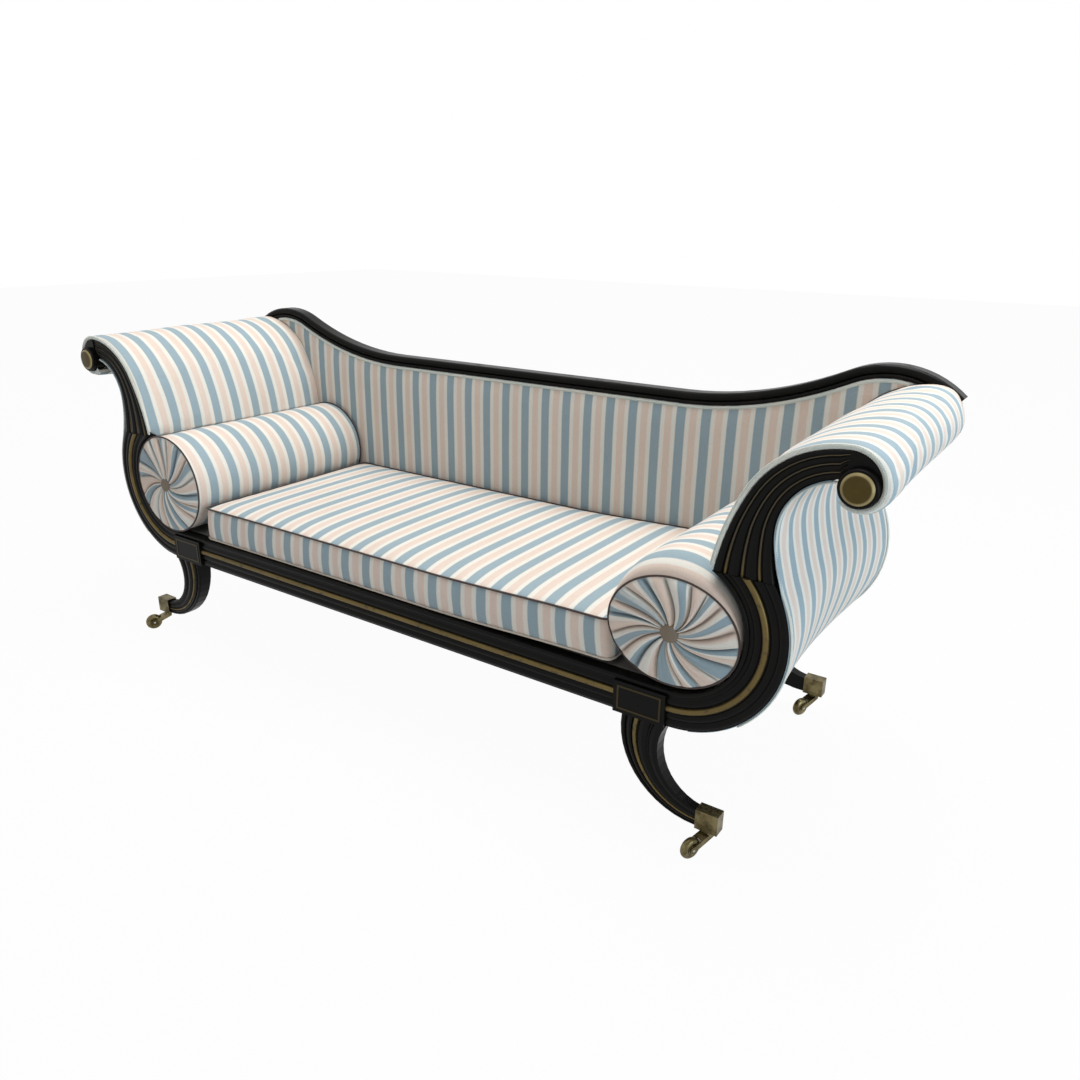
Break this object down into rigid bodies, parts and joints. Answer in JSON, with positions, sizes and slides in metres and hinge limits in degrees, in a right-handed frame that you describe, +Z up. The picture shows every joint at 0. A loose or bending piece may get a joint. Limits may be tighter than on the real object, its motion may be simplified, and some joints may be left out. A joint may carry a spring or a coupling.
{
  "type": "scroll-arm settee",
  "caption": "Long black and gilt settee with scrolled arms, a low back swept up at both ends, sabre legs on brass castors, a striped squab and bolsters",
  "frame": {"origin": "On the floor, under the middle of the bounding box", "axes": "+X to the settee's left arm as a sitter would call it, the viewer's right from the front; +Y to the back; +Z up; the front is at -Y"},
  "size_m": [2.136, 0.6888, 0.8429],
  "materials": {
    "black_wood": "ebonised, semi-gloss",
    "gilt": "gilded, satin, rubbed",
    "brass": "dull, aged",
    "steel": "bright",
    "frame_wood": "planed, unfinished",
    "webbing": "woven jute",
    "lining_cloth": "plain black weave",
    "deck_cloth": "plain cotton",
    "striped_fabric": "woven stripe, slight sheen"
  },
  "bodies": {
    "frame": {"front_rail": "black_wood", "rear_rail": "black_wood", "end_rails": "frame_wood", "seat_braces": "frame_wood", "corner_blocks": "frame_wood", "frame_screws": "steel", "seat_ledgers": "frame_wood", "seat_webbing": "webbing", "seat_deck": "deck_cloth", "bottom_cloth": "lining_cloth", "left_tablet": "black_wood", "right_tablet": "black_wood", "left_seat_curve": "black_wood", "right_seat_curve": "black_wood", "left_scroll_facing": "black_wood", "right_scroll_facing": "black_wood", "scroll_eyes": "black_wood", "scroll_discs": "brass", "left_rear_frame": "black_wood", "right_rear_frame": "black_wood", "arm_bars": "frame_wood", "crest_rail": "black_wood", "back_frame": "frame_wood", "back_pad": "striped_fabric", "back_cover": "striped_fabric", "left_arm_pad": "striped_fabric", "right_arm_pad": "striped_fabric", "left_arm_cover": "striped_fabric", "right_arm_cover": "striped_fabric", "front_left_leg": "black_wood", "front_right_leg": "black_wood", "rear_left_leg": "black_wood", "rear_right_leg": "black_wood", "front_left_toe_cap": "brass", "front_right_toe_cap": "brass", "rear_left_toe_cap": "brass", "rear_right_toe_cap": "brass", "rail_gilding": "gilt", "left_arm_gilding": "gilt", "right_arm_gilding": "gilt", "leg_gilding": "gilt", "tablet_gilding": "gilt"},
    "seat_squab": {"squab": "striped_fabric"},
    "left_roll": {"left_bolster": "striped_fabric", "left_button": "striped_fabric"},
    "right_roll": {"right_bolster": "striped_fabric", "right_button": "striped_fabric"},
    "front_left_swivel": {"front_left_fork": "brass", "front_left_axle": "steel"},
    "front_left_roller": {"front_left_wheel": "brass"},
    "front_right_swivel": {"front_right_fork": "brass", "front_right_axle": "steel"},
    "front_right_roller": {"front_right_wheel": "brass"},
    "rear_left_swivel": {"rear_left_fork": "brass", "rear_left_axle": "steel"},
    "rear_left_roller": {"rear_left_wheel": "brass"},
    "rear_right_swivel": {"rear_right_fork": "brass", "rear_right_axle": "steel"},
    "rear_right_roller": {"rear_right_wheel": "brass"}
  },
  "joints": [
    {"name": "squab_lift", "type": "slide", "parent": "frame", "child": "seat_squab", "axis": [0, 0, 1], "range_m": [0, 0.25]},
    {"name": "left_bolster_draw", "type": "slide", "parent": "frame", "child": "left_roll", "axis": [0, -1, 0], "range_m": [0, 0.4]},
    {"name": "right_bolster_draw", "type": "slide", "parent": "frame", "child": "right_roll", "axis": [0, -1, 0], "range_m": [0, 0.4]},
    {"name": "front_left_turn", "type": "hinge", "parent": "frame", "child": "front_left_swivel", "pos_m": [-0.8355, -0.28425, 0.05], "axis": [0, 0, 1], "continuous": true},
    {"name": "front_left_roll", "type": "hinge", "parent": "front_left_swivel", "child": "front_left_roller", "pos_m": [-0.8523, -0.32383, 0.0215], "axis": [0.9205, -0.3907, 0], "continuous": true},
    {"name": "front_right_turn", "type": "hinge", "parent": "frame", "child": "front_right_swivel", "pos_m": [0.8355, -0.28425, 0.05], "axis": [0, 0, 1], "continuous": true},
    {"name": "front_right_roll", "type": "hinge", "parent": "front_right_swivel", "child": "front_right_roller", "pos_m": [0.8187, -0.32383, 0.0215], "axis": [0.9205, -0.3907, 0], "continuous": true},
    {"name": "rear_left_turn", "type": "hinge", "parent": "frame", "child": "rear_left_swivel", "pos_m": [-0.8355, 0.33075, 0.05], "axis": [0, 0, 1], "continuous": true},
    {"name": "rear_left_roll", "type": "hinge", "parent": "rear_left_swivel", "child": "rear_left_roller", "pos_m": [-0.8523, 0.29117, 0.0215], "axis": [0.9205, -0.3907, 0], "continuous": true},
    {"name": "rear_right_turn", "type": "hinge", "parent": "frame", "child": "rear_right_swivel", "pos_m": [0.8355, 0.33075, 0.05], "axis": [0, 0, 1], "continuous": true},
    {"name": "rear_right_roll", "type": "hinge", "parent": "rear_right_swivel", "child": "rear_right_roller", "pos_m": [0.8187, 0.29117, 0.0215], "axis": [0.9205, -0.3907, 0], "continuous": true}
  ]
}
